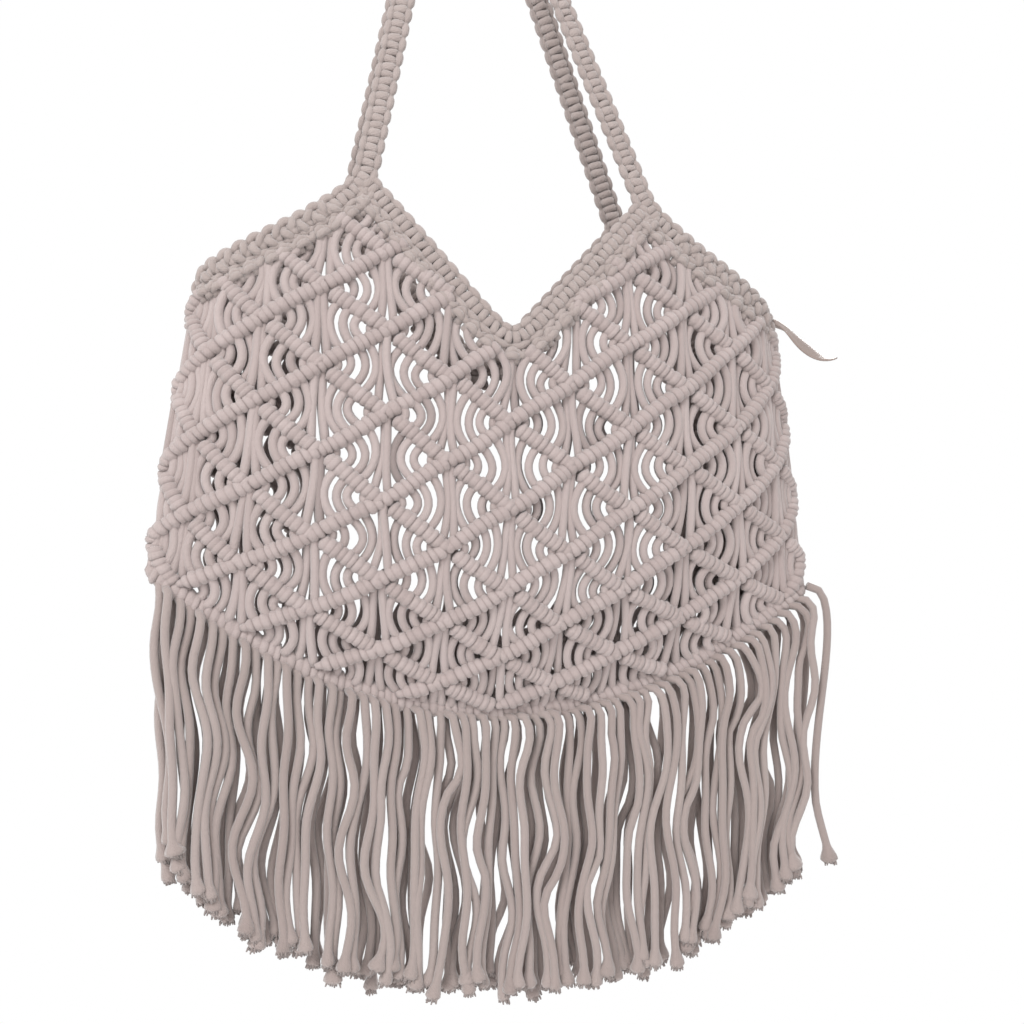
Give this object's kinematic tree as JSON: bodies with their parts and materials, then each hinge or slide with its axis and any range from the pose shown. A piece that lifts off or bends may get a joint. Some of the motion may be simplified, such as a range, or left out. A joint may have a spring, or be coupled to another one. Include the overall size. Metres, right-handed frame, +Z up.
{
  "type": "macrame shoulder bag",
  "caption": "Knotted cotton cord shoulder bag with an open diamond net body, a vee-shaped rim, flat braided straps and a long cord fringe",
  "frame": {"origin": "the underside of both straps at the top of the handle loop, midway between them, where the bag hangs", "axes": "+Z up along the hanging bag, +X across its width towards the side with the label, -Y out of the front net"},
  "size_m": [0.3894, 0.082, 0.6619],
  "materials": {
    "net_cotton": "matt cotton cord",
    "braid_cotton": "matt knotted cotton cord",
    "fringe_cotton": "matt loose cotton cord",
    "label_ribbon": "satin ribbon"
  },
  "bodies": {
    "root": {"front_net": "net_cotton", "back_net": "net_cotton", "bottom_seam": "net_cotton", "front_vee_band": "braid_cotton", "back_vee_band": "braid_cotton", "front_strap": "braid_cotton", "back_strap": "braid_cotton", "front_fringe": "fringe_cotton", "back_fringe": "fringe_cotton", "side_label": "label_ribbon"}
  },
  "joints": []
}
